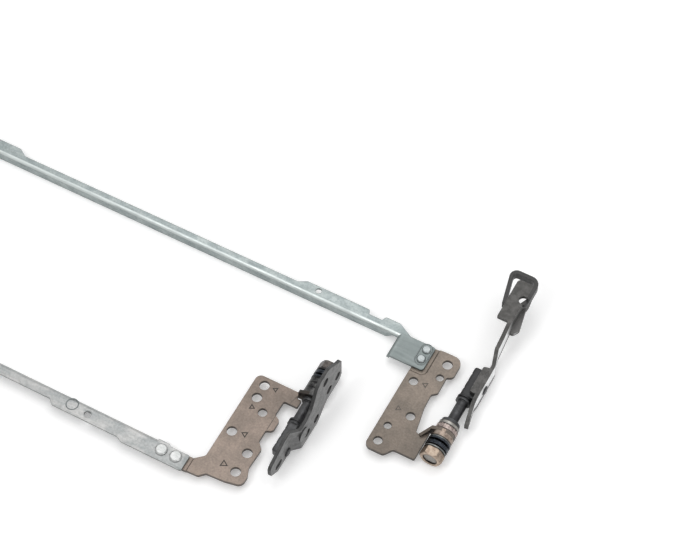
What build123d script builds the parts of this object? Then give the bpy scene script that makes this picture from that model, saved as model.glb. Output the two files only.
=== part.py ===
from build123d import *
import os

# A pair of laptop hinges. Every size is in millimetres.
# X runs along the lid rails towards the hinge barrels, Y from the left hinge to the right one, Z up.
# Each hinge is drawn in a frame of its own: the hinge axis is the line x = 0, y = 0 is the outer face
# of its nut, and y grows along the shaft. The left hinge is then mirrored and both are set in place.

# Shared heights
axis_height = 3.5
rail_height = 3.5

# Lid rails
rail_sheet = 0.8
rail_bend = 1.3
rail_length = 185.0
rail_edge = 2.5
rail_hole = 1.8
far_hole = 2.6
far_tab_length = 7.0
pad_start = 23.8
pad_length = 21.9
pad_slope = 2.6
pad_height = 1.7
wall_rise = 2.2
far_hole_inset = 3.6
lip_depth = 1.6
lip_bend = 1.0
lip_lap = 0.4

# Lid plates
lid_sheet = 1.1
ear_sheet = 1.1
ear_radius = 3.3
ear_gap = 0.6
plate_rise = 0.35
cut_reach = 9.0
pocket_gap = 1.0
lid_hole = 2.7
small_hole = 2.3
large_hole = 3.0

# Lid rivets
rivet_shank = 1.8
rivet_fit = 0.02
head_height = 0.6
tail_head_height = 0.5
right_rivet_head = 2.6
left_rivet_head = 3.6

# Shaft
shaft_thread = 4.0
shaft_flats = 3.2
shaft_waist = 3.2
right_shoulder = 5.6
left_shoulder = 4.6
shoulder_width = 1.0
collar_start = 20.4
collar_diameter = 4.6
collar_ring = 0.6
collar_groove = 0.4
shaft_length = 32.0
flat_height = 3.6
flat_back = 1.8
end_recess = 0.3
end_round = 0.7
ripple_count = 3
ripple_depth = 0.25

# Friction stack
barrel_diameter = 6.6
nut_across_flats = 6.0
nut_height = 2.7
nut_chamfer = 0.35
plain_washer = 0.6
spring_sheet = 0.5
spring_cone = 0.4
spring_count = 3
thin_washer = 0.5
friction_washer = 1.6
toothed_ring = 1.7
grey_ring = 1.2
cam_ring = 1.7
tooth_count = 20
tooth_depth = 0.25
tooth_width = 0.5
tang_width = 1.2
tang_depth = 0.6
tang_fit = 0.05
bore_fit = 0.05

# Base brackets
right_sheet = 1.2
right_offset = 2.4
left_sheet = 1.0
left_offset = 3.5
left_seat = 1.2
base_hole = 2.8
panel_hole = 2.8
base_rivet_shank = 1.6
base_rivet_head = 2.8
base_rivet_dome = 0.5
right_rivet_inset = 5.0
left_rivet_inset = 2.1
joggle_gap = 1.9
joggle_run = 2.2
hook_wall = 2.6
tail_reach = 9.4
slot_inset = 4.4
boss_gap = 0.8

# Places of the two hinges
right_place = (0.0, 0.0)
left_place = (-38.1, 13.2)

rail_under = rail_height - rail_sheet
pocket_bottom = rail_under - lid_sheet
lid_top = rail_under + plate_rise
lid_bottom = lid_top - lid_sheet
spring_pitch = spring_sheet + spring_cone
plate_edge = -(ear_radius + ear_gap)
wing_edge = -2.4


def outline(points):
    """A closed face from (a, b, corner radius) points."""
    wire = FilletPolyline([(a, b) for a, b, _ in points], radius=[r for _, _, r in points], close=True)
    return make_face(wire)


def flat(points, bottom, thickness):
    """A level sheet: an outline in X and Y, lifted to its height."""
    return Pos(0, 0, bottom) * extrude(outline(points), amount=thickness)


def upright(points, near, thickness):
    """A standing sheet: an outline in Y and Z, drawn at x = near and thickened towards +X."""
    return Plane.YZ.offset(near) * extrude(outline(points), amount=thickness)


def rod(diameter, start, length):
    """A round bar on the hinge axis."""
    section = Plane.XZ.offset(-start) * Circle(diameter / 2)
    return Pos(0, 0, axis_height) * extrude(section, amount=-length)


def flatted(start, length, grow=0.0):
    """The shaft section inside the stack: round, with two flats that key the washers."""
    keep = Pos(0, start + length / 2, axis_height) * Box(
        shaft_thread + 1, length, shaft_flats + 2 * grow)
    return rod(shaft_thread + 2 * grow, start, length) & keep


def drill(x, y, diameter, bottom=-1.0, top=cut_reach):
    """An upright drill at one place."""
    return Pos(x, y, (bottom + top) / 2) * Cylinder(diameter / 2, top - bottom)


def cross_rod(y, z, diameter, start, length):
    """A round bar along X, for rivets and for drilling standing sheets."""
    return Pos(start + length / 2, y, z) * Rot(0, 90, 0) * Cylinder(diameter / 2, length)


def washer(start, thickness, diameter=barrel_diameter, keyed=True):
    """A ring on the shaft, keyed to its flats or free to turn."""
    round_bore = rod(shaft_thread + 2 * bore_fit, start, thickness)
    bore = flatted(start, thickness, bore_fit) if keyed else round_bore
    return rod(diameter, start, thickness) - bore


def nut(start=0.0):
    """A hexagon nut with chamfered corners, flats up and down."""
    prism = Plane.XZ * RegularPolygon(nut_across_flats / 2, 6, major_radius=False)
    body = Pos(0, start, axis_height) * extrude(prism, amount=-nut_height)
    corner = nut_across_flats / 3 ** 0.5
    middle = nut_height / 2
    cone = Plane.XY * make_face(Polyline(
        (0, 0), (corner - nut_chamfer, 0), (corner, nut_chamfer), (corner, middle),
        (corner, nut_height - nut_chamfer), (corner - nut_chamfer, nut_height), (0, nut_height), close=True))
    turned = Pos(0, start, axis_height) * revolve(cone, Axis.Y)
    return (body & turned) - rod(shaft_thread + 2 * bore_fit, start, nut_height)


def springs(start):
    """Coned disc springs, set back to back."""
    inner = shaft_thread / 2 + bore_fit
    outer = barrel_diameter / 2 + 0.1
    discs = []
    for i in range(spring_count):
        foot = start + i * spring_pitch
        lean = (0.0, spring_cone) if i % 2 == 0 else (spring_cone, 0.0)
        section = make_face(Polyline(
            (inner, foot + lean[0]), (outer, foot + lean[1]), (outer, foot + lean[1] + spring_sheet),
            (inner, foot + lean[0] + spring_sheet), close=True))
        discs.append(Pos(0, 0, axis_height) * revolve(section, Axis.Y))
    return Compound(discs)


def tanged(start, thickness, ear_start):
    """A ring that the ear holds still: a tang on its rim reaches into the notch of the ear."""
    near = min(start, ear_start)
    far = max(start + thickness, ear_start + ear_sheet)
    depth = tang_depth - tang_fit
    tang = Pos(0, (near + far) / 2, axis_height + ear_radius - depth / 2) * Box(tang_width, far - near, depth)
    return washer(start, thickness, keyed=False) + tang


def notch(ear_start):
    """The notch in the rim of the ear."""
    width = tang_width + 2 * tang_fit
    return Pos(0, ear_start + ear_sheet / 2, axis_height + ear_radius) * Box(
        width, 3 * ear_sheet, 2 * tang_depth)


def toothed(start):
    """A ring with small slots cut all round its rim."""
    ring = washer(start, toothed_ring)
    slot = Pos(barrel_diameter / 2, start + 0.65 * toothed_ring, axis_height) * Box(
        2 * tooth_depth, 0.7 * toothed_ring, tooth_width)
    axis = Axis((0, 0, axis_height), (0, 1, 0))
    for i in range(tooth_count):
        ring -= slot.rotate(axis, 360 * i / tooth_count)
    return ring


def shaft(stack_end, shoulder, flat_front):
    """The hinge shaft from its threaded end to its flattened end."""
    body = flatted(end_recess, stack_end - end_recess)
    body += rod(shoulder, stack_end, shoulder_width)
    body += rod(shaft_waist, stack_end, collar_start - stack_end + 1)
    for i in range(2):
        body += rod(collar_diameter, collar_start + i * (collar_ring + collar_groove), collar_ring)
    core_start = collar_start + collar_ring
    body += rod(collar_diameter - 0.8, core_start, collar_groove)
    flat_start = collar_start + 2 * collar_ring + collar_groove
    width = flat_front + flat_back
    block = Pos((flat_front - flat_back) / 2, (flat_start + shaft_length) / 2, axis_height) * Box(
        width, shaft_length - flat_start, flat_height)
    block = fillet(block.edges().filter_by(Axis.Y).group_by(Axis.X)[0], 0.8)
    block = fillet(block.edges().filter_by(Axis.Z).group_by(Axis.Y)[-1], end_round)
    pitch = (shaft_length - flat_start) / (ripple_count + 1)
    for i in range(ripple_count):
        groove = Cylinder(pitch / 4, 2 * flat_height)
        place = (ripple_depth - flat_back - pitch / 4, flat_start + (i + 1) * pitch, axis_height)
        block -= Pos(*place) * groove
    return body + block


def rivets(places, head, top, bottom):
    """Lid rivets: a bevelled head above, a flat head below and the shank between them."""
    shank = rivet_shank / 2 - rivet_fit
    section = make_face(Polyline(
        (0, bottom - tail_head_height), (right_rivet_head / 2, bottom - tail_head_height),
        (right_rivet_head / 2, bottom), (shank, bottom), (shank, top), (head / 2, top),
        (head / 2, top + head_height / 2), (0.4 * head, top + head_height), (0, top + head_height),
        close=True))
    turned = revolve(Plane.XZ * section, Axis.Z)
    return Compound([Pos(x, y, 0) * turned for x, y in places])


def angle_section(edge, bottom, reach, bend):
    """The section of a bent angle: a wall that stands at the edge, a rounded bend and a flange."""
    inside = edge + rail_sheet
    return outline([
        (edge, bottom, 0), (edge, rail_height, bend), (edge + reach, rail_height, 0),
        (edge + reach, rail_under, 0), (inside, rail_under, bend - rail_sheet), (inside, bottom, 0)])


def rail(inner, edge_points, wall_end, bend_end, far_end):
    """A lid rail: a bent angle whose wall runs out before its bend does, and the level sheet beside it."""
    section = angle_section(inner, 0, rail_edge, rail_bend)
    angle = Plane.YZ.offset(far_end) * extrude(section, amount=bend_end - far_end)
    bend_foot = rail_height - rail_bend
    side = outline([
        (far_end, 0, 0), (wall_end, 0, 0.8), (wall_end + wall_rise, bend_foot, 0.8), (bend_end, bend_foot, 0),
        (bend_end, rail_height, 0), (far_end, rail_height, 0)])
    trimmed = angle & (Plane.XZ * extrude(side, amount=-(inner + rail_edge)))
    return trimmed + flat(edge_points, rail_under, rail_sheet)


def ear_eye(start):
    """The upright eye of the lid plate: a disc round the shaft with a web down to the plate."""
    foot = lid_bottom - axis_height
    web = make_face(Polyline(
        (plate_edge, foot), (plate_edge, ear_radius * 0.5), (-ear_radius * 0.5, ear_radius * 0.86),
        (0, 0), (-ear_radius * 0.5, foot), close=True))
    return Pos(0, start, axis_height) * extrude(Plane.XZ * (Circle(ear_radius) + web), amount=-ear_sheet)


# Right hinge: places along the shaft
right_springs_start = nut_height + plain_washer
right_thin_start = right_springs_start + spring_count * spring_pitch
right_friction_start = right_thin_start + thin_washer
right_ear_start = right_friction_start + friction_washer
right_toothed_start = right_ear_start + ear_sheet
right_grey_start = right_toothed_start + toothed_ring
right_stack_end = right_grey_start + grey_ring

# Left hinge: places along the shaft
left_springs_start = nut_height + plain_washer
left_thin_start = left_springs_start + spring_count * spring_pitch
left_friction_start = left_thin_start + thin_washer
left_moving_cam_start = left_friction_start + friction_washer
left_fixed_cam_start = left_moving_cam_start + cam_ring
left_ear_start = left_fixed_cam_start + cam_ring
left_stack_end = left_ear_start + ear_sheet

# Right rail and plate
right_rail_inner = 31.4
right_rail_end = -14.8
right_tab_left = -26.4
right_tab_near = 24.4
right_wall_end = -30.3
right_far_end = right_rail_end - rail_length
right_pad = right_far_end + pad_start
right_flange = right_rail_inner + rail_edge
right_bend_end = right_tab_left + lip_bend
right_rivet_places = [(-16.9, 31.0), (-16.9, 27.6)]
right_rail_outline = [
    (right_far_end, right_rail_inner + rail_bend, 0), (right_far_end, right_flange + 2.1, 1.2),
    (right_far_end + far_tab_length, right_flange + 2.1, 0.8),
    (right_far_end + far_tab_length + 2, right_flange, 1.0), (right_pad, right_flange, 1.0),
    (right_pad + pad_slope, right_flange + pad_height, 1.0),
    (right_pad + pad_length - pad_slope, right_flange + pad_height, 1.0),
    (right_pad + pad_length, right_flange, 1.0), (-60.5, right_flange, 1.5),
    (-57.9, right_flange + 1.4, 1.2), (-37.5, right_flange + 1.4, 0.6), (-36.7, 33.3, 0.5),
    (-33.1, 33.3, 0.5), (-32.1, right_flange + 1.4, 0.6), (-27.5, right_flange + 1.4, 1.5),
    (-22.9, 32.8, 1.0),
    (right_rail_end, 32.8, 0.5), (right_rail_end, right_tab_near, 1.0), (right_bend_end, right_tab_near, 0),
    (right_bend_end, right_rail_inner + rail_bend, 0)]
right_plate_outline = [
    (-18.4, 32.6, 0.5), (-11.9, 33.2, 2.0), (-6.1, 33.2, 2.6), (-6.1, 26.5, 1.4), (-7.8, 25.9, 0.5),
    (-7.7, 20.2, 0.7), (-9.2, 18.8, 0.9), (-9.0, 14.4, 0.8), (-7.5, 6.3, 0.4), (-6.6, 5.9, 0),
    (plate_edge, right_ear_start + ear_sheet, 0), (plate_edge, -1.8, 0.5), (-10.5, -1.8, 1.2),
    (-12.3, -4.5, 1.4), (-18.4, -4.5, 1.9)]
right_pocket = [
    (-22.0, right_tab_near - pocket_gap, 0), (right_rail_end + pocket_gap, right_tab_near - pocket_gap, 1.6),
    (right_rail_end + pocket_gap, 36.0, 0), (-22.0, 36.0, 0)]
right_lid_holes = [
    (-9.5, 29.7, large_hole), (-9.5, 24.9, small_hole), (-15.6, 20.4, lid_hole), (-11.1, 9.9, lid_hole),
    (-15.4, 4.3, small_hole), (-15.6, -1.2, lid_hole)]

# Left rail and plate
left_rail_inner = 43.2
left_rail_end = -21.1
left_far_end = left_rail_end - rail_length
left_flange = left_rail_inner + rail_edge + 0.9
left_wall_end = -34.0
left_bend_end = -31.4
left_rivet_places = [(-29.1, 45.9), (-24.5, 45.9)]
left_rail_outline = [
    (left_far_end, left_rail_inner + rail_bend, 0), (left_far_end, left_flange + 2.1, 1.2),
    (left_far_end + far_tab_length, left_flange + 2.1, 0.8),
    (left_far_end + far_tab_length + 2, left_flange, 1.0), (-65.5, left_flange, 0.8),
    (-63.7, left_flange + 1.5, 0.8), (-42.3, left_flange + 1.5, 1.2), (-40.7, left_flange + 2.4, 1.2),
    (left_rail_end, left_flange + 2.4, 0.6), (left_rail_end, 43.8, 0.5), (-27.1, 43.8, 0.3),
    (-27.9, left_rail_inner, 0.3), (left_bend_end, left_rail_inner, 0),
    (left_bend_end, left_rail_inner + rail_bend, 0)]
left_plate_outline = [
    (-31.5, 44.3, 0.5), (-31.5, 48.6, 0.5), (-16.2, 47.9, 1.0), (-14.6, 46.2, 1.0), (-9.0, 45.9, 3.0),
    (-3.9, 44.9, 2.0), (-3.9, 41.8, 1.5), (-5.0, 39.0, 1.5), (-4.7, 32.4, 1.2), (-6.6, 30.4, 0.8),
    (-6.6, 26.6, 0.8), (-4.7, 25.9, 1.3), (-4.7, 22.0, 1.3), (-6.7, 21.0, 0.5), (-6.6, 16.0, 0.6),
    (wing_edge, 16.0, 0.4), (wing_edge, left_ear_start + 2.0, 0.3), (plate_edge, left_ear_start + 2.0, 0.3),
    (plate_edge, left_ear_start, 0), (-17.4, left_ear_start, 1.8), (-17.4, 41.4, 1.2), (-19.8, 43.6, 0.6),
    (-21.8, 43.6, 0)]
left_pocket = [
    (-36.0, 40.0, 0), (left_rail_end + pocket_gap, 40.0, 0), (left_rail_end + pocket_gap, 52.0, 0),
    (-36.0, 52.0, 0)]
left_lid_holes = [
    (-14.0, 14.1, large_hole), (-14.0, 18.5, large_hole), (-10.2, 22.0, lid_hole), (-14.9, 31.2, large_hole),
    (-7.6, 35.3, large_hole), (-7.6, 41.9, large_hole)]


def lid_rail(inner, outline_points, wall_end, bend_end, far_end, holes, rivet_places):
    """A rail with its holes and with the drilled ends that take the rivets."""
    body = rail(inner, outline_points, wall_end, bend_end, far_end)
    for x, y, diameter in holes:
        body -= drill(x, y, diameter)
    for x, y in rivet_places:
        body -= drill(x, y, rivet_shank)
    return body


def gusset(plan):
    """The web that carries the ear: a wall on the given plan, rising from the plate towards the shaft."""
    side = make_face(Polyline(
        (plan[0][0], lid_bottom), (plan[0][0], lid_top), (plate_edge, axis_height + ear_radius / 2),
        (plate_edge, lid_bottom), close=True))
    wall = flat([(x, y, 0) for x, y in plan], lid_bottom, ear_radius * 2)
    return wall & (Plane.XZ * extrude(side, amount=-50.0))


def sloped_pocket(points, bottom):
    """A shallow pocket with sloping sides, as deep as the plate's joggle."""
    return extrude(Plane.XY.offset(bottom) * outline(points), amount=plate_rise, taper=-45)


def lid_plate(points, pocket, holes, rivet_places, ear_start):
    """A lid plate with its holes, its ear and the lowered place where the rail is riveted to it."""
    body = flat(points, lid_bottom, lid_sheet) + ear_eye(ear_start)
    lowered = sloped_pocket(pocket, pocket_bottom) & flat(points, pocket_bottom, plate_rise)
    body = body - sloped_pocket(pocket, rail_under) + lowered
    for x, y, diameter in holes:
        body -= drill(x, y, diameter, top=lid_top + 0.2)
    for x, y in rivet_places:
        body -= drill(x, y, rivet_shank, top=lid_top + 0.2)
    body -= rod(shaft_thread + 2 * bore_fit, ear_start - 1, ear_sheet + 2)
    return body - notch(ear_start)


def bent_sheet(path, radii, sheet, side_points, near=-20.0, far=20.0):
    """A standing sheet that follows a bent path in X and Y, trimmed to an outline in Y and Z."""
    line = FilletPolyline(path, radius=radii)
    strip = extrude(trace(line, line_width=sheet), amount=30.0)
    return strip & upright(side_points, near, far - near)


def base_rivet(y, back, front):
    """The rivet that holds a base bracket to the flat end of the shaft."""
    shank = base_rivet_shank / 2 - rivet_fit
    head = base_rivet_head / 2
    section = make_face(Polyline(
        (0, back), (shank, back), (shank, front), (head, front), (head, front + base_rivet_dome / 2),
        (0.75 * head, front + base_rivet_dome), (0, front + base_rivet_dome), close=True))
    turned = revolve(Plane.XZ * section, Axis.Z)
    return Pos(0, y, axis_height) * Rot(0, 90, 0) * turned


# Right base bracket
right_face = right_offset + right_sheet
right_mid = right_offset + right_sheet / 2
right_far_mid = right_mid - 1.3
hook_mid = right_far_mid + 1.3
hook_left = -5.2
hook_far = 62.2
right_top = 11.8
right_strip_top = 6.7
right_under = right_top - right_sheet
hook_bottom = right_top - hook_wall
right_rivet_y = shaft_length - right_rivet_inset
right_path = [
    (right_mid + 1.3, 14.0), (right_mid, 20.4), (right_mid, 33.6), (right_far_mid, 38.0),
    (right_far_mid, 53.0), (hook_mid, 55.8), (hook_mid, hook_far), (hook_left, hook_far), (-2.6, 51.0)]
right_path_radii = [4.0, 2.0, 2.0, 2.0, 2.0, 2.2, 1.6]
right_side = [
    (13.0, 2.4, 0), (13.0, 4.2, 0), (20.0, 5.2, 1.0), (22.6, right_strip_top, 1.0),
    (33.4, right_strip_top + 0.3, 3.0), (41.5, 9.8, 6.0), (45.4, right_top, 2.0), (65.0, right_top, 0),
    (65.0, hook_bottom, 0), (56.4, hook_bottom, 1.5), (54.6, 5.6, 1.5), (45.0, 5.6, 3.0), (36.0, 1.0, 6.0),
    (22.0, 0.6, 1.0), (19.5, 2.4, 1.0)]
hook_side = [(50.0, hook_bottom, 0), (50.0, right_top, 0), (65.0, right_top, 0), (65.0, hook_bottom, 0)]
right_panel = [
    (-2.4, 46.0, 0.3), (right_far_mid, 46.0, 0), (right_far_mid, 52.9, 0),
    (hook_mid + right_sheet / 2, 52.9, 1.3), (hook_mid + right_sheet / 2, 60.2, 0.8), (-2.4, 60.2, 1.2)]
right_panel_hole = (2.0, 54.3)
right_tab = [
    (right_mid, 23.2, 0), (0.6, 23.2, 0.3), (0.6, 32.1, 0.5), (right_mid, 32.7, 0)]
right_lobe_bottom = 6.8
right_lobe = [
    (right_far_mid, 45.0, 0), (3.4, 44.7, 1.2), (4.6, 46.8, 1.2), (2.9, 55.4, 0.5), (right_far_mid, 54.8, 0)]

# Left base bracket
left_face = left_offset + left_sheet
left_mid = left_offset + left_sheet / 2
left_tail_mid = left_seat + left_sheet / 2
left_rivet_y = shaft_length - left_rivet_inset
left_joggle_end = left_rivet_y - joggle_gap
left_joggle_start = left_joggle_end - joggle_run
left_tail_end = left_rivet_y + tail_reach
left_path = [
    (left_mid, 1.6), (left_mid, left_joggle_start), (left_tail_mid, left_joggle_end),
    (left_tail_mid, left_tail_end)]
left_path_radii = [1.0, 1.0]
left_side = [
    (2.4, 7.5, 2.0), (2.4, 14.6, 1.5), (4.6, 16.0, 1.5), (9.6, 20.4, 2.5),
    (left_joggle_start - 10.3, 20.4, 3.5),
    (left_joggle_start - 6.3, 13.0, 3.0), (left_joggle_start - 3.3, 11.5, 2.0),
    (left_tail_end - 8.3, 11.5, 3.0), (left_tail_end, 8.6, 1.6), (left_tail_end, 4.6, 1.6),
    (left_tail_end - 3.8, 1.4, 2.0), (left_joggle_start - 9.5, 1.4, 3.0),
    (left_joggle_start - 14.3, 5.6, 3.0), (3.3, 5.6, 2.0)]
left_base_holes = [
    (4.7, 9.3), (9.7, 9.3), (left_joggle_start - 8.5, 4.7), (left_joggle_start - 3.3, 4.7), (11.7, 16.4)]
left_slot = (left_tail_end - slot_inset, 4.4)
left_boss = (left_joggle_start - boss_gap, 8.0)
left_boss_diameter = 4.6
left_boss_height = 0.35


def right_base():
    body = bent_sheet(right_path, right_path_radii, right_sheet, right_side, near=-1.0)
    body += bent_sheet(right_path, right_path_radii, right_sheet, hook_side, far=-1.0)
    body += flat(right_panel, right_under, right_sheet)
    body += flat(right_tab, right_strip_top - right_sheet, right_sheet)
    body += flat(right_lobe, right_lobe_bottom, right_sheet)
    body -= drill(*right_panel_hole, panel_hole, bottom=right_under, top=right_top + 1)
    return body - cross_rod(right_rivet_y, axis_height, base_rivet_shank, 0, cut_reach)


def left_base():
    body = bent_sheet(left_path, left_path_radii, left_sheet, left_side)
    for y, z in left_base_holes:
        body -= cross_rod(y, z, base_hole, 0, cut_reach)
    body += cross_rod(*left_boss, left_boss_diameter, left_face, left_boss_height)
    slot = Plane.YZ * Pos(*left_slot) * SlotCenterToCenter(1.4, 2.2)
    body -= extrude(slot, amount=cut_reach)
    return body - cross_rod(left_rivet_y, axis_height, base_rivet_shank, 0, cut_reach)


right_gusset_plan = [
    (-6.6, 5.9), (plate_edge, right_ear_start + ear_sheet), (plate_edge, right_ear_start - 0.6), (-5.6, 5.3)]


def right_rail():
    body = lid_rail(
        right_rail_inner, right_rail_outline, right_wall_end, right_bend_end, right_far_end,
        [(-53.6, 33.9, rail_hole), (right_far_end + far_hole_inset, right_flange, far_hole)],
        right_rivet_places)
    lip = angle_section(right_tab_left, rail_height - lip_depth, lip_bend + lip_lap, lip_bend)
    length = right_rail_inner + rail_bend + lip_lap - right_tab_near
    return body + Plane.XZ.offset(-right_tab_near) * extrude(lip, amount=-length)


right_nodes = {
    "right_lid_rail": right_rail(),
    "right_lid_plate": lid_plate(
        right_plate_outline, right_pocket, right_lid_holes, right_rivet_places, right_ear_start)
        + gusset(right_gusset_plan),
    "right_lid_rivets": rivets(right_rivet_places, right_rivet_head, rail_height, pocket_bottom),
    "right_friction_washer": tanged(right_friction_start, friction_washer, right_ear_start),
    "right_hinge_shaft": shaft(right_stack_end, right_shoulder, right_offset)
        - cross_rod(right_rivet_y, axis_height, base_rivet_shank, -cut_reach / 2, cut_reach),
    "right_hinge_nut": nut(),
    "right_plain_washer": washer(nut_height, plain_washer),
    "right_disc_springs": springs(right_springs_start),
    "right_thin_washer": washer(right_thin_start, thin_washer),
    "right_toothed_ring": toothed(right_toothed_start),
    "right_stop_washer": washer(right_grey_start, grey_ring, barrel_diameter - 0.4),
    "right_base_bracket": right_base(),
    "right_base_rivet": base_rivet(right_rivet_y, -flat_back, right_face),
}
left_nodes = {
    "left_lid_rail": lid_rail(
        left_rail_inner, left_rail_outline, left_wall_end, left_bend_end, left_far_end,
        [(-53.1, 46.0, 2.2), (left_far_end + far_hole_inset, left_flange, far_hole)], left_rivet_places),
    "left_lid_plate": lid_plate(
        left_plate_outline, left_pocket, left_lid_holes, left_rivet_places, left_ear_start),
    "left_lid_rivets": rivets(left_rivet_places, left_rivet_head, rail_height, pocket_bottom),
    "left_fixed_cam": tanged(left_fixed_cam_start, cam_ring, left_ear_start),
    "left_hinge_shaft": shaft(left_stack_end, left_shoulder, left_seat)
        - cross_rod(left_rivet_y, axis_height, base_rivet_shank, -cut_reach / 2, cut_reach),
    "left_hinge_nut": nut(),
    "left_plain_washer": washer(nut_height, plain_washer),
    "left_disc_springs": springs(left_springs_start),
    "left_thin_washer": washer(left_thin_start, thin_washer),
    "left_friction_washer": washer(left_friction_start, friction_washer),
    "left_moving_cam": washer(left_moving_cam_start, cam_ring),
    "left_base_bracket": left_base(),
    "left_base_rivet": base_rivet(left_rivet_y, -flat_back, left_seat + left_sheet),
}

placed = {name: Pos(*right_place, 0) * shape for name, shape in right_nodes.items()}
for name, shape in left_nodes.items():
    flipped = [mirror(solid, about=Plane.XZ) for solid in shape.solids()]
    placed[name] = Pos(*left_place, 0) * (flipped[0] if len(flipped) == 1 else Compound(flipped))

# The origin is under the middle of the whole pair, on the surface it lies on.
box = Compound([solid for shape in placed.values() for solid in shape.solids()]).bounding_box()
centre = box.center()
to_origin = Pos(-centre.X, -centre.Y, -box.min.Z)

os.makedirs("parts", exist_ok=True)
for name, shape in placed.items():
    export_step(to_origin * shape, f"parts/{name}.step")
print("shift", -centre.X, -centre.Y, -box.min.Z)
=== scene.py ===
"""Looks of a pair of laptop hinges: finishes, stamped marks, floor, light and camera, round the CAD frame."""
import bpy
import bmesh
import math
from mathutils import Matrix, Vector

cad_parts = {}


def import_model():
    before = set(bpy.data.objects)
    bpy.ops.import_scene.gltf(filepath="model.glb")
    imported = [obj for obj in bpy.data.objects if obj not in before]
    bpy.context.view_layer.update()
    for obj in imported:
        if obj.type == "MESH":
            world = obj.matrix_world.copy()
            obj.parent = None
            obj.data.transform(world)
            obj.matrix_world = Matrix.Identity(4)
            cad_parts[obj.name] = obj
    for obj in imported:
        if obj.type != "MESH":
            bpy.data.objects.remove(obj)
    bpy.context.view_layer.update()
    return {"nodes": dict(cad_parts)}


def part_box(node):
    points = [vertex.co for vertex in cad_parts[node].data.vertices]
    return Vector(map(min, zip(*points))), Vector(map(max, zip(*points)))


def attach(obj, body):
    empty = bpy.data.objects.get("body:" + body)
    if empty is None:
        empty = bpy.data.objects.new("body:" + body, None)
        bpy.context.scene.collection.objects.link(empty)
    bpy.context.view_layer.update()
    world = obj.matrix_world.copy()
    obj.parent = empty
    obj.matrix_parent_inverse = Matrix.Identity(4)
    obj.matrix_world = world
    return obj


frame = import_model()

MM = 0.001


# Places in the row frame, in millimetres
def middle(node, axis):
    """The middle of a node's box along an axis."""
    low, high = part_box(node)
    return round((low[axis] + high[axis]) / 2 / MM, 3)


# The hinge axes, and the outer faces of the nuts on them
RIGHT_AXIS_X, LEFT_AXIS_X = middle("right_hinge_nut", 0), middle("left_hinge_nut", 0)
AXIS_Z = middle("right_hinge_nut", 2)
RIGHT_NUT_Y = round(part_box("right_hinge_nut")[0][1] / MM, 3)
LEFT_NUT_Y = round(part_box("left_hinge_nut")[1][1] / MM, 3)
THREAD_RADIUS = 2.0

# Upper faces of the rails and of the lid plates, and the heights between which an ear rises clear of a plate
RAIL_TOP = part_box("left_lid_rail")[1][2] / MM
PLATE_TOP = RAIL_TOP - 0.45
EAR_FOOT, EAR_CLEAR = PLATE_TOP + 0.35, PLATE_TOP + 1.15


def right_point(x, y):
    """A place given from the right hinge's axis along X, and from its nut's outer face along Y."""
    return x + RIGHT_AXIS_X, RIGHT_NUT_Y + y


def left_point(x, y):
    """The same for the left hinge, where y runs the other way."""
    return x + LEFT_AXIS_X, LEFT_NUT_Y - y


# Colours, as linear red, green and blue
ZINC_DARK, ZINC_LIGHT = (0.235, 0.268, 0.268), (0.315, 0.347, 0.342)
ZINC_ROLLED = (0.23, 0.265, 0.27)
ZINC_SPECK = (0.50, 0.535, 0.53)
ZINC_WORN_LIT_EDGE = (0.55, 0.58, 0.58)
ZINC_DARKER = (0.14, 0.160, 0.158)
ZINC_BEND_HIGHLIGHT = (0.53, 0.57, 0.56)
NICKEL_DARK, NICKEL_LIGHT = (0.175, 0.150, 0.128), (0.235, 0.198, 0.168)
NICKEL_GRAIN = (0.27, 0.235, 0.215)
NICKEL_STREAK = (0.12, 0.105, 0.096)
NICKEL_ARRIS_HIGHLIGHT = (0.40, 0.36, 0.32)
NICKEL_SHADED_CUT = (0.050, 0.042, 0.036)
SHAFT_DARK, SHAFT_LIGHT = (0.024, 0.024, 0.026), (0.062, 0.063, 0.066)
COAT_WORN_LIT_EDGE = (0.42, 0.43, 0.43)
COAT_DEEP = (0.007, 0.007, 0.008)
LOBE_LIT_GREY = (0.120, 0.118, 0.114)
HOOK_BLACK = (0.030, 0.030, 0.030)
UNCOATED = (0.30, 0.285, 0.265)
BARE_STEEL = (0.86, 0.865, 0.87)
COPPER_DARK, COPPER_LIGHT = (0.21, 0.160, 0.125), (0.36, 0.290, 0.230)
FLOOR_WHITE = (0.93, 0.93, 0.93)

# How metallic each finish is
ZINC_METALLIC = 0.85
NICKEL_METALLIC = 0.55
COAT_METALLIC = 0.35
BARE_METALLIC = 0.6
TURNED_METALLIC = 0.9

# The values between which most of a noise pattern lies
NOISE_LOW, NOISE_HIGH = 0.3, 0.7

# Sockets of a Mix node for colours, which share their names with those for numbers
COLOUR_A, COLOUR_B, COLOUR_RESULT = 6, 7, 2


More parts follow.
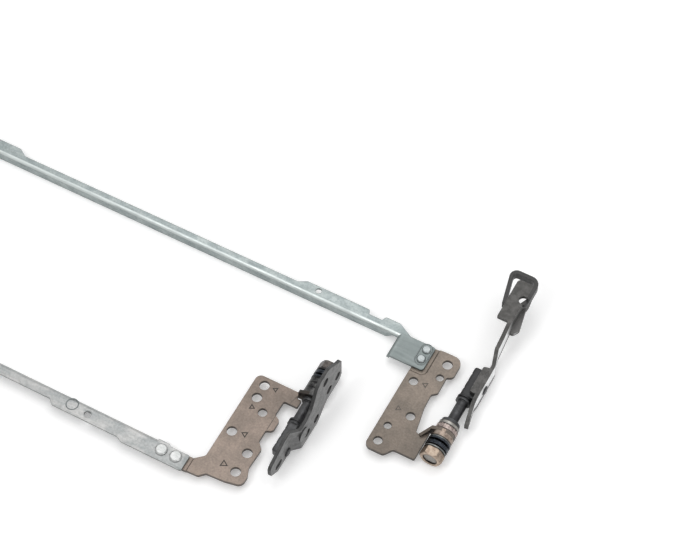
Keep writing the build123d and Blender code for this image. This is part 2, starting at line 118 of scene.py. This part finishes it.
class Tree:
    """A node tree, emptied and then built up by short calls."""

    def __init__(self, tree):
        self.tree = tree
        tree.nodes.clear()

    def put(self, socket, value):
        if isinstance(value, bpy.types.NodeSocket):
            self.tree.links.new(value, socket)
        else:
            socket.default_value = value

    def node(self, kind, inputs=None, **settings):
        """A new node with its settings and its inputs, each a value or another node's output."""
        made = self.tree.nodes.new(kind)
        for name, value in settings.items():
            setattr(made, name, value)
        for socket, value in (inputs or {}).items():
            self.put(made.inputs[socket], value)
        return made

    def math(self, operation, a, b=0.0):
        return self.node("ShaderNodeMath", {0: a, 1: b}, operation=operation).outputs[0]

    def times(self, first, *others):
        for other in others:
            first = self.math("MULTIPLY", first, other)
        return first

    def most(self, a, b):
        return self.math("MAXIMUM", a, b)

    def vector(self, operation, inputs):
        return self.node("ShaderNodeVectorMath", inputs, operation=operation).outputs[0]

    def split(self, vector):
        """The parts of a vector along X, Y and Z."""
        return tuple(self.node("ShaderNodeSeparateXYZ", {0: vector}).outputs)

    def ramp(self, value, low, high, to_low=0.0, to_high=1.0, smooth=True):
        """to_low where value is at most low, to_high where it is at least high, and a slope between."""
        inputs = {"Value": value, "From Min": low, "From Max": high, "To Min": to_low, "To Max": to_high}
        slope = "SMOOTHSTEP" if smooth else "LINEAR"
        return self.node("ShaderNodeMapRange", inputs, interpolation_type=slope).outputs["Result"]

    def seen_or_mirrored(self):
        """1 for rays from the camera and for mirrored ones, so that metal shows the same pale background."""
        path = self.node("ShaderNodeLightPath")
        return self.most(path.outputs["Is Camera Ray"], path.outputs["Is Glossy Ray"])


class Shader(Tree):
    """The tree of a new material with one Principled surface. Lengths in it are in millimetres."""

    def __init__(self, name):
        self.material = bpy.data.materials.new(name)
        self.material.use_nodes = True
        super().__init__(self.material.node_tree)
        coordinates = self.node("ShaderNodeTexCoord")
        self.place = self.vector("SCALE", {0: coordinates.outputs["Object"], "Scale": 1.0 / MM})
        self.own_normal = coordinates.outputs["Normal"]

    def axes(self):
        """The place along X, Y and Z, on the piece at rest."""
        return self.split(self.place)

    def facing(self):
        """The parts of a face's direction along X, Y and Z at rest, each from -1 to 1."""
        return self.split(self.own_normal)

    def upward(self):
        return self.ramp(self.facing()[2], 0.6, 0.9)

    def sideways(self):
        """1 on faces that stand upright, such as the cut edges and hole walls of a flat sheet."""
        return self.ramp(self.math("ABSOLUTE", self.facing()[2]), 0.25, 0.55, 1.0, 0.0)

    def edges(self, radius, low=0.80, high=0.985):
        """1 along sharp edges, 0 on open faces, and the rounded normal."""
        rounded = self.node("ShaderNodeBevel", {"Radius": radius * MM}, samples=6).outputs["Normal"]
        flat = self.node("ShaderNodeNewGeometry").outputs["Normal"]
        alike = self.node("ShaderNodeVectorMath", {0: rounded, 1: flat}, operation="DOT_PRODUCT")
        return self.ramp(alike.outputs["Value"], low, high, 1.0, 0.0), rounded

    def stretched(self, x, y, z):
        """The place with each axis scaled. A pattern on it is drawn out along an axis with a small value."""
        return self.vector("MULTIPLY", {0: self.place, 1: (x, y, z)})

    def noise(self, scale, detail, rough, place=None):
        """Cloudy noise around 0.5, with about scale spots to the millimetre."""
        inputs = {"Vector": place or self.place, "Scale": scale, "Detail": detail, "Roughness": rough}
        return self.node("ShaderNodeTexNoise", inputs).outputs["Fac"]

    def mix(self, factor, a, b):
        """Colour a where factor is 0, b where it is 1."""
        a, b = (value if isinstance(value, bpy.types.NodeSocket) else (*value, 1.0) for value in (a, b))
        inputs = {"Factor": factor, COLOUR_A: a, COLOUR_B: b}
        return self.node("ShaderNodeMix", inputs, data_type="RGBA").outputs[COLOUR_RESULT]

    def laid(self, base, colour, mask, amount=1.0):
        """colour over base where mask is 1, as strong as amount."""
        return self.mix(self.times(mask, amount), base, colour)

    def scaled(self, colour, tone):
        return self.vector("SCALE", {0: colour, "Scale": tone})

    def bump(self, height, depth, normal=None):
        """A bumpy normal, over a rounded one if that is given."""
        inputs = {"Strength": 1.0, "Distance": depth * MM, "Height": height}
        if normal:
            inputs["Normal"] = normal
        return self.node("ShaderNodeBump", inputs).outputs["Normal"]

    def finished(self, base, metallic, pattern, rough, normal):
        """The material, with a roughness that follows a noise pattern from rough[0] to rough[1]."""
        roughness = self.ramp(pattern, NOISE_LOW, NOISE_HIGH, *rough)
        surface = self.node("ShaderNodeBsdfPrincipled", {
            "Base Color": base, "Metallic": metallic, "Roughness": roughness, "Normal": normal})
        self.node("ShaderNodeOutputMaterial", {"Surface": surface.outputs["BSDF"]})
        return self.material


def tinted(colour, tint):
    return tuple(a * b for a, b in zip(colour, tint))


def toned(colour, tone):
    return tuple(tone * value for value in colour)


# Rails
def zinc(name, darker_place, tint=(1.0, 1.0, 1.0), bend_highlight=False):
    """Zinc plated rail: pale blue grey, rolled along its length, with spangle, and edges lighter as wear and
    painted highlight.
    darker_place gives the place where the zinc is made darker, and bend_highlight is for a rail with a
    painted highlight along its bend."""
    s = Shader(name)
    rolled = s.noise(1.0, 4, 0.6, s.stretched(0.12, 1.4, 1.4))
    blotch = s.noise(0.22, 4, 0.6)
    speck = s.noise(5.0, 2, 0.5)
    spangle = s.noise(1.5, 3, 0.65)
    edge_mask, normal = s.edges(0.3)
    base = s.mix(s.ramp(blotch, 0.36, 0.66), tinted(ZINC_DARK, tint), tinted(ZINC_LIGHT, tint))
    base = s.laid(base, ZINC_ROLLED, s.ramp(rolled, 0.40, 0.72), 0.35)
    base = s.scaled(base, s.ramp(spangle, 0.34, 0.66, 0.86, 1.12, smooth=False))
    base = s.laid(base, ZINC_SPECK, s.ramp(speck, 0.60, 0.74), 0.30)
    # Edges lighter: partly wear, partly painted highlight
    base = s.laid(base, ZINC_WORN_LIT_EDGE, edge_mask, 0.35)
    # Made darker at the place given: a painted darker reflection on the right rail's tab, and darker towards
    # the end on the left rail
    base = s.laid(base, ZINC_DARKER, darker_place(s), 0.85)
    # How far a face looks towards +Y, or up, where a side of the rail begins and where it is reached in full
    lit_far_side, near_side = (0.2, 0.5), (-0.30, -0.15)
    wall, bend, flange = (0.15, 0.35), (0.26, 0.58), (0.95, 0.995)
    _, away, rise = s.facing()
    # Painted light: faces that look towards +Y made up to 1.3 times lighter
    base = s.scaled(base, s.ramp(away, *lit_far_side, 1.0, 1.3))
    if bend_highlight:
        # Painted light on the wall, lighter apart from dark scuffs, and a painted highlight along the bend
        wall_light_and_scuffs = s.ramp(s.noise(1.0, 4, 0.7, s.stretched(0.22, 1.0, 1.3)), 0.50, 0.64, 1.16, 0.88)
        base = s.scaled(base, s.ramp(rise, *wall, wall_light_and_scuffs, 1.0))
        on_bend = s.times(s.ramp(rise, *bend), s.ramp(rise, *flange, 1.0, 0.0),
                          s.ramp(away, *near_side, 1.0, 0.0))
        highlight_strength = s.ramp(s.noise(1.0, 3, 0.6, s.stretched(0.10, 0.6, 0.6)), 0.30, 0.60, 0.55, 1.0)
        base = s.laid(base, ZINC_BEND_HIGHLIGHT, on_bend, highlight_strength)
    height = s.math("ADD", s.times(rolled, 0.5), s.times(speck, 0.25))
    return s.finished(base, ZINC_METALLIC, rolled, (0.30, 0.46), s.bump(height, 0.045, normal))


def right_rail_painted_shade(s):
    """The riveted tab, made darker as a painted reflection."""
    px, py, _ = s.axes()
    x, y = right_point(-27.0, 33.2)
    return s.times(s.ramp(px, x - 2.0, x + 3.0), s.ramp(py, y - 2.0, y + 2.0, 1.0, 0.0))


def left_rail_darker_end(s):
    """The end of the rail, beside its last rivet."""
    px, _, _ = s.axes()
    x = LEFT_AXIS_X - 23.0
    return s.ramp(px, x, x + 1.4, 0.0, 0.5)


# Lid plates
def brown_nickel(name, near, far, tint, ear_tone=1.0):
    """Lid plate: brown nickel over steel, fine grain, cut edges darkened as painted shade, with a painted
    highlight on the arris. near and far are each a place along Y and the plate's tone there, and ear_tone is
    the tone of its raised ear."""
    s = Shader(name)
    grain = s.noise(7.0, 3, 0.6)
    cloud = s.noise(0.16, 3, 0.55)
    mottle = s.noise(1.7, 3, 0.65)
    streak = s.noise(1.0, 3, 0.6, s.stretched(0.25, 2.2, 1.0))
    edge_mask, normal = s.edges(0.22)
    base = s.mix(s.ramp(cloud, 0.35, 0.68), tinted(NICKEL_DARK, tint), tinted(NICKEL_LIGHT, tint))
    base = s.laid(base, NICKEL_GRAIN, s.ramp(grain, 0.50, 0.72), 0.35)
    base = s.laid(base, NICKEL_STREAK, s.ramp(streak, 0.55, 0.75), 0.25)
    # Painted highlight along the edges, and painted shade on the upright cut edges
    base = s.laid(base, NICKEL_ARRIS_HIGHLIGHT, edge_mask, 0.30)
    base = s.laid(base, NICKEL_SHADED_CUT, s.sideways(), 0.72)
    base = s.scaled(base, s.ramp(mottle, 0.34, 0.66, 0.86, 1.14, smooth=False))
    _, py, pz = s.axes()
    base = s.scaled(base, s.ramp(py, near[0], far[0], near[1], far[1], smooth=False))
    base = s.scaled(base, s.ramp(pz, EAR_FOOT, EAR_CLEAR, 1.0, ear_tone))
    return s.finished(base, NICKEL_METALLIC, grain, (0.36, 0.50), s.bump(s.times(grain, 0.6), 0.035, normal))


# Shafts and base brackets
def coated(name, dark, light, detail=None, rough=(0.34, 0.52), edge_wear_highlight=0.30):
    """Black coat over steel: satin, slightly orange-peeled, paler along its edges as wear and painted
    highlight. detail changes the colour in a piece's own places, and gives it back with how metallic it is."""
    s = Shader(name)
    cloud = s.noise(0.5, 4, 0.6)
    peel = s.noise(3.5, 2, 0.5)
    edge_mask, normal = s.edges(0.3, 0.74, 0.97)
    broken = s.times(edge_mask, s.ramp(s.noise(2.2, 4, 0.7), 0.42, 0.66))
    base = s.mix(s.ramp(cloud, 0.35, 0.68), dark, light)
    # Edges paler: partly wear, partly painted highlight
    base = s.laid(base, COAT_WORN_LIT_EDGE, broken, edge_wear_highlight)
    metallic = COAT_METALLIC
    if detail:
        base, metallic = detail(s, base)
    return s.finished(base, metallic, peel, rough, s.bump(peel, 0.05, normal))


def right_shaft_ends(s, base):
    """Deep black at the bracket's end, and uncoated at the tip of the thread."""
    _, py, _ = s.axes()
    black_from, uncoated_to, fade = RIGHT_NUT_Y + 21.0, RIGHT_NUT_Y + 1.2, 0.3
    base = s.laid(base, COAT_DEEP, s.ramp(py, black_from - fade, black_from), 0.8)
    base = s.laid(base, UNCOATED, s.ramp(py, uncoated_to - fade, uncoated_to, 1.0, 0.0))
    return base, COAT_METALLIC


def left_bracket_shaded_edges(s, base):
    """Painted shade on the cut edges and hole walls, round a paler face."""
    across = s.math("ABSOLUTE", s.facing()[0])
    return s.scaled(base, s.ramp(across, 0.2, 0.5, 0.24, 1.0)), COAT_METALLIC


def right_bracket_places(s, base):
    """A paler upper face on the lobe as painted light, a darker hook round the panel, and an outer face of
    bare steel over a dark foot of painted shade.
    """
    px, py, pz = s.axes()

    # Upper face of the lobe, made paler as painted light: its left and near sides, and a height just above it
    lobe_left, lobe_near = right_point(2.2, 43.5)
    lobe_top = 8.2
    lit_lobe_top = s.times(s.ramp(px, lobe_left, lobe_left + 0.2), s.ramp(pz, lobe_top, lobe_top + 0.4, 1.0, 0.0),
                      s.ramp(py, lobe_near, lobe_near + 0.5), s.upward())
    base = s.laid(base, LOBE_LIT_GREY, lit_lobe_top)

    # The hook: all that lies past the panel's sides, and its outer wall
    panel_left, panel_near = right_point(-2.4, 47.0)
    panel_right, panel_far = right_point(2.3, 60.3)
    hook_foot, fade = 9.0, 0.25
    on_hook = s.most(s.ramp(px, panel_left - fade, panel_left, 1.0, 0.0),
                     s.ramp(py, panel_far, panel_far + fade))
    outer_wall = s.times(s.ramp(px, panel_right, panel_right + fade), s.ramp(pz, hook_foot, hook_foot + 0.4))
    on_hook = s.times(s.most(on_hook, outer_wall), s.ramp(py, panel_near, panel_near + 0.5))
    base = s.laid(base, HOOK_BLACK, on_hook, 0.8)

    # Outer face: bare between two places along Y, above a dark foot of painted shade that follows the sheet's
    # lower edge
    bare_from, bare_to = RIGHT_NUT_Y + 16.0, RIGHT_NUT_Y + 45.0
    lower_edge = s.math("ADD", s.ramp(py, bare_from + 3.5, bare_from + 6.0, 2.4, 0.6, smooth=False),
                        s.ramp(py, bare_from + 20.0, bare_to, 0.0, 5.0, smooth=False))
    above_shaded_foot = s.ramp(s.math("SUBTRACT", pz, lower_edge), 1.2, 1.8)
    flecks = s.ramp(s.noise(1.0, 5, 0.75, s.stretched(1.5, 0.5, 3.0)), 0.54, 0.66, 1.0, 0.25)
    bare = s.times(s.ramp(s.facing()[0], 0.5, 0.9), s.ramp(py, bare_from - 1.5, bare_from + 1.5),
                   s.ramp(py, bare_to - 2.5, bare_to + 2.5, 1.0, 0.0), above_shaded_foot, flecks)
    base = s.laid(base, BARE_STEEL, bare)
    return base, s.ramp(bare, 0.0, 1.0, COAT_METALLIC, BARE_METALLIC)


# Nuts, rivets, washers, springs and cams
def turned(name, dark, light, rough=(0.25, 0.42), ring_scale=9.0, oil=0.4, shaded_rim=False, detail=None):
    """Turned or ground piece: lines round its axis, oil darkening in patches, and a rim that is lighter, as
    wear and painted highlight, or with shaded_rim darker, as painted shade. detail changes the colour in a
    piece's own places."""
    s = Shader(name)
    lines = s.noise(1.0, 4, 0.7, s.stretched(0.4, ring_scale, 0.4))
    patch = s.noise(0.9, 4, 0.65)
    edge_mask, normal = s.edges(0.18)
    base = s.mix(s.ramp(patch, 0.38, 0.64), dark, light)
    base = s.laid(base, toned(dark, 0.35), s.ramp(lines, 0.52, 0.70), oil)
    if shaded_rim:
        # Painted shade along the rim
        base = s.laid(base, toned(dark, 0.25), edge_mask, 0.85)
    else:
        # Lighter rim: partly wear, partly painted highlight
        base = s.laid(base, tuple(min(1.0, 1.5 * value + 0.06) for value in light), edge_mask, 0.45)
    if detail:
        base = detail(s, base)
    return s.finished(base, TURNED_METALLIC, patch, rough, s.bump(lines, 0.03, normal))


def nut_end(s, base):
    """The right nut's paler outer face, with painted shade in the bore round the thread."""
    base = s.scaled(base, s.ramp(s.facing()[1], -0.9, -0.6, 1.5, 1.0))
    px, _, pz = s.axes()
    across, up = s.math("SUBTRACT", px, RIGHT_AXIS_X), s.math("SUBTRACT", pz, AXIS_Z)
    out = s.math("SQRT", s.math("ADD", s.times(across, across), s.times(up, up)))
    dirt_and_shade = s.ramp(out, THREAD_RADIUS + 0.14, THREAD_RADIUS + 0.34, 1.0, 0.0)
    # Painted shade in the bore, round the thread
    return s.laid(base, toned(COPPER_DARK, 0.18), dirt_and_shade, 0.85)


def shaded_joints(dark, ends):
    """Painted shade where a ring meets its neighbours, at the two places along Y in ends."""
    def detail(s, base):
        _, py, _ = s.axes()
        away = s.math("MINIMUM", *(s.math("ABSOLUTE", s.math("SUBTRACT", py, end)) for end in ends))
        return s.laid(base, toned(dark, 0.12), s.ramp(away, 0.08, 0.34, 1.0, 0.0), 0.92)
    return detail


shaft_coat = {"dark": SHAFT_DARK, "light": SHAFT_LIGHT, "rough": (0.28, 0.44)}
blued = turned("Blued spring", (0.012, 0.014, 0.018), (0.05, 0.058, 0.07), rough=(0.2, 0.36), oil=0.2)
black_rivet = coated("Black rivet", **shaft_coat)

materials = {
    "right_lid_rail": zinc("Zinc plated rail, right", right_rail_painted_shade, bend_highlight=True),
    "left_lid_rail": zinc("Zinc plated rail, left", left_rail_darker_end, tint=(1.17, 1.05, 1.045)),
    "right_lid_plate": brown_nickel(
        "Brown nickel plate, right", (RIGHT_NUT_Y, 0.70), (RIGHT_NUT_Y + 30.0, 0.95), (1.02, 1.0, 0.97)),
    "left_lid_plate": brown_nickel(
        "Brown nickel plate, left", (LEFT_NUT_Y - 42.0, 1.16), (LEFT_NUT_Y - 14.0, 0.86), (1.06, 1.0, 0.98),
        ear_tone=0.22),
    "right_lid_rivets": turned(
        "Zinc plated rivet", (0.25, 0.272, 0.277), (0.36, 0.385, 0.385), rough=(0.26, 0.42), ring_scale=1.0,
        oil=0.20, shaded_rim=True),
    "left_lid_rivets": turned(
        "Bright rivet", (0.34, 0.35, 0.345), (0.50, 0.505, 0.50), rough=(0.24, 0.40), ring_scale=1.0,
        oil=0.25, shaded_rim=True),
    "right_hinge_nut": turned(
        "Copper flashed nut", COPPER_DARK, COPPER_LIGHT, rough=(0.26, 0.42), ring_scale=2.0, oil=0.15,
        detail=nut_end),
    "left_hinge_nut": turned(
        "Darkened nut", (0.045, 0.040, 0.037), (0.105, 0.095, 0.088), rough=(0.3, 0.5), ring_scale=2.0),
    "right_hinge_shaft": coated("Black shaft, right", **shaft_coat, detail=right_shaft_ends),
    "left_hinge_shaft": coated("Black shaft, left", **shaft_coat),
    "right_disc_springs": blued,
    "left_disc_springs": blued,
    "right_base_rivet": black_rivet,
    "left_base_rivet": black_rivet,
    "right_base_bracket": coated(
        "Black bracket, right", (0.048, 0.0465, 0.044), (0.092, 0.089, 0.085), right_bracket_places,
        edge_wear_highlight=0.9),
    "left_base_bracket": coated(
        "Black bracket, left", (0.122, 0.122, 0.122), (0.205, 0.205, 0.203), left_bracket_shaded_edges,
        edge_wear_highlight=0.4),
}

# Rings of the two stacks: a dark and a light colour, and how oily each is
grey_ring = ((0.20, 0.205, 0.20), (0.36, 0.37, 0.36), 0.45)
black_ring = ((0.030, 0.030, 0.031), (0.085, 0.084, 0.082), 0.4)
ring_finishes = {
    "right_friction_washer": ((0.20, 0.155, 0.125), (0.36, 0.295, 0.25), 0.35),
    "right_toothed_ring": ((0.26, 0.21, 0.195), (0.45, 0.38, 0.35), 0.35),
    "right_stop_washer": ((0.24, 0.23, 0.215), (0.38, 0.365, 0.34), 0.35),
    "right_plain_washer": grey_ring,
    "right_thin_washer": grey_ring,
}
for node in frame["nodes"]:
    if node not in materials:
        dark, light, oil = ring_finishes.get(node, black_ring)
        ends = [corner[1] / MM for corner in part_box(node)]
        materials[node] = turned(node.replace("_", " ").capitalize(), dark, light, oil=oil,
                                 detail=shaded_joints(dark, ends))
for node, material in materials.items():
    for place in frame["nodes"][node].material_slots:
        place.material = material


def added(name, data):
    """A new object in the scene."""
    piece = bpy.data.objects.new(name, data)
    bpy.context.collection.objects.link(piece)
    return piece


# Stamped marks on the plates and rails, as thin closed strips that follow an outline
RING_POINTS = 48


def pressed(name, dark, light, metallic=0.5):
    """The floor of a stamped line, and a pressed bead: darker than the sheet round it as painted shade, with
    dirt in patches.
    """
    s = Shader(name)
    dirt_and_shade = s.noise(3.0, 4, 0.65)
    base = s.mix(s.ramp(dirt_and_shade, 0.35, 0.65), dark, light)
    return s.finished(base, metallic, dirt_and_shade, (0.42, 0.58), s.bump(dirt_and_shade, 0.02))


def strip(name, path, section, top, material, closed=True):
    """A strip along a path of (x, y), with a section of (across, up) measured from the path and from top."""
    points = [Vector(point) for point in path]
    ends = points[1:] + points[:1] if closed else points[1:]
    runs = [(end - start).normalized() for start, end in zip(points, ends)]
    sides = [Vector((run.y, -run.x)) for run in runs]
    corners = []
    for i, here in enumerate(points):
        meeting = [sides[i - 1], sides[i]] if closed else sides[max(i - 1, 0):i + 1]
        out = sum(meeting, Vector((0.0, 0.0))).normalized()
        stretch = 1.0 / out.dot(meeting[0])
        corners += [((here.x + out.x * across * stretch) * MM, (here.y + out.y * across * stretch) * MM,
                     (top + up) * MM) for across, up in section]
    count, size = len(points), len(section)
    faces = []
    for i in range(len(runs)):
        j = (i + 1) % count
        for k in range(size):
            m = (k + 1) % size
            faces.append((i * size + k, j * size + k, j * size + m, i * size + m))
    if not closed:
        faces.append(tuple(range(size)))
        faces.append(tuple((count - 1) * size + k for k in reversed(range(size))))
    mesh = bpy.data.meshes.new(name)
    mesh.from_pydata(corners, [], faces)
    outward = bmesh.new()
    outward.from_mesh(mesh)
    bmesh.ops.recalc_face_normals(outward, faces=outward.faces)
    outward.to_mesh(mesh)
    outward.free()
    mesh.materials.append(material)
    piece = added(name, mesh)
    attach(piece, "lid_side")


def ring(x, y, radius, half_length=0.0):
    """The outline of a ring, or of a stadium when it has a half length along Y."""
    turns = [2 * math.pi * (i + 0.5) / RING_POINTS for i in range(RING_POINTS)]
    return [(x + radius * math.cos(a), y + math.copysign(half_length, math.sin(a)) + radius * math.sin(a))
            for a in turns]


def triangle(x, y, size, point):
    """The middle line of a stamped triangle with even sides, with one corner at the angle given."""
    radius = size / math.sqrt(3) - 0.3
    turns = [math.radians(point + 120 * i) for i in range(3)]
    return [(x + radius * math.cos(a), y + radius * math.sin(a)) for a in turns]


line_section = [(-0.18, -0.05), (-0.15, 0.02), (0.15, 0.02), (0.18, -0.05)]
bead_section = [(-0.20, -0.06), (-0.15, 0.05), (-0.05, 0.09), (0.05, 0.09), (0.15, 0.05), (0.20, -0.06)]
crease_section = [(-0.12, -0.05), (-0.07, 0.03), (0.07, 0.03), (0.12, -0.05)]
# Stamped lines, creases and beads, darker than their sheet: painted shade, with dirt in patches
line_dark = pressed("Stamped line", (0.028, 0.025, 0.023), (0.055, 0.048, 0.043))
line_faint = pressed("Faint stamped line", (0.070, 0.061, 0.053), (0.115, 0.100, 0.088))
bead_zinc = pressed("Pressed bead", (0.115, 0.128, 0.130), (0.19, 0.21, 0.21), metallic=0.8)

# Triangles: the middle of each, the length of its sides, and the direction of one corner in degrees
triangles = {
    "right": (right_point, line_faint, [(-12.1, 20.9, 2.0, 297), (-15.3, 10.5, 2.0, 117)]),
    "left": (left_point, line_dark, [(-10.6, 13.8, 1.8, 297), (-13.7, 21.9, 1.9, 117),
                                     (-11.2, 30.4, 2.1, 297), (-11.7, 41.3, 2.4, 117)]),
}
for side, (point_on, material, rows) in triangles.items():
    for i, (x, y, size, point) in enumerate(rows):
        strip(f"{side}_triangle_{i + 1}", triangle(*point_on(x, y), size, point), line_section, PLATE_TOP,
              material)

# Creases of the left plate, across the foot of its side wing and of its lobe, as dark lines of painted shade
creases = [((-3.7, 11.1), (-4.8, 15.7)), ((-6.45, 21.4), (-6.45, 26.2))]
for i, (start, end) in enumerate(creases):
    strip(f"left_crease_{i + 1}", [left_point(*start), left_point(*end)], crease_section, PLATE_TOP,
          line_faint, closed=False)

strip("right_rivet_pad", ring(*right_point(-16.9, 29.3), 1.72, half_length=1.9), bead_section, RAIL_TOP,
      bead_zinc)
strip("left_rail_ring", ring(*left_point(-58.6, 45.3), 1.75), bead_section, RAIL_TOP, bead_zinc)


# Floor, light and camera, in metres
def floor():
    half, height, glow_strength = 6.0, -0.00002, 0.25
    mesh = bpy.data.meshes.new("floor")
    mesh.from_pydata([(-half, -half, height), (half, -half, height), (half, half, height),
                      (-half, half, height)], [], [(0, 1, 2, 3)])
    piece = added("floor", mesh)
    material = bpy.data.materials.new("White table")
    material.use_nodes = True
    t = Tree(material.node_tree)
    matt = t.node("ShaderNodeBsdfDiffuse", {"Color": (*FLOOR_WHITE, 1.0)})
    glow = t.node("ShaderNodeEmission", {"Strength": t.times(t.seen_or_mirrored(), glow_strength)})
    both = t.node("ShaderNodeAddShader", {0: matt.outputs[0], 1: glow.outputs[0]})
    t.node("ShaderNodeOutputMaterial", {"Surface": both.outputs[0]})
    mesh.materials.append(material)


def world():
    """Light that grows with height from horizon to sky, and a white background."""
    horizon, sky, sky_from = 0.25, 0.75, 0.9
    studio = bpy.data.worlds.new("Studio")
    studio.use_nodes = True
    t = Tree(studio.node_tree)
    _, _, height = t.split(t.node("ShaderNodeTexCoord").outputs["Generated"])
    strength = t.ramp(height, 0.0, sky_from, horizon, sky, smooth=False)
    around = t.node("ShaderNodeBackground", {"Strength": strength})
    seen = t.node("ShaderNodeBackground", {"Color": (1.0, 1.0, 1.0, 1.0), "Strength": 1.0})
    either = t.node("ShaderNodeMixShader", {"Fac": t.seen_or_mirrored(), 1: around.outputs[0],
                                            2: seen.outputs[0]})
    t.node("ShaderNodeOutputWorld", {"Surface": either.outputs[0]})
    bpy.context.scene.world = studio


def lamp(name, place, size, power):
    """A square soft lamp that points at the middle of the view."""
    target = Vector((0.06, 0.0, 0.0))
    data = bpy.data.lights.new(name, "AREA")
    data.shape = "SQUARE"
    data.size = size
    data.energy = power
    piece = added(name, data)
    piece.location = place
    piece.rotation_euler = (target - Vector(place)).to_track_quat("-Z", "Y").to_euler()


def camera():
    """The photograph's camera: its place, its directions to the right and ahead, and its focal length in
    pixels of a photograph 679 pixels wide."""
    place = Vector((246.506, -301.53, 594.31)) * MM
    right = Vector((0.8802, 0.4746, 0.0)).normalized()
    ahead = Vector((-0.2553, 0.4735, -0.8430)).normalized()
    focal_pixels, photo_width, sensor = 2400.0, 679.0, 36.0
    data = bpy.data.cameras.new("Camera")
    data.sensor_fit = "HORIZONTAL"
    data.sensor_width = sensor
    data.lens = focal_pixels / photo_width * sensor
    data.clip_start, data.clip_end = 0.01, 20.0
    piece = added("Camera", data)
    turn = Matrix((right, right.cross(ahead), -ahead)).transposed()
    piece.matrix_world = Matrix.Translation(place) @ turn.to_4x4()
    bpy.context.scene.camera = piece


floor()
world()
lamp("Overhead softbox", (0.02, 0.25, 0.75), 0.70, 2.2)
lamp("Front strip", (-0.12, -0.36, 0.60), 0.20, 0.7)
lamp("Side fill", (0.75, -0.35, 0.45), 0.50, 0.9)
camera()
bpy.context.scene.view_settings.view_transform = "Standard"
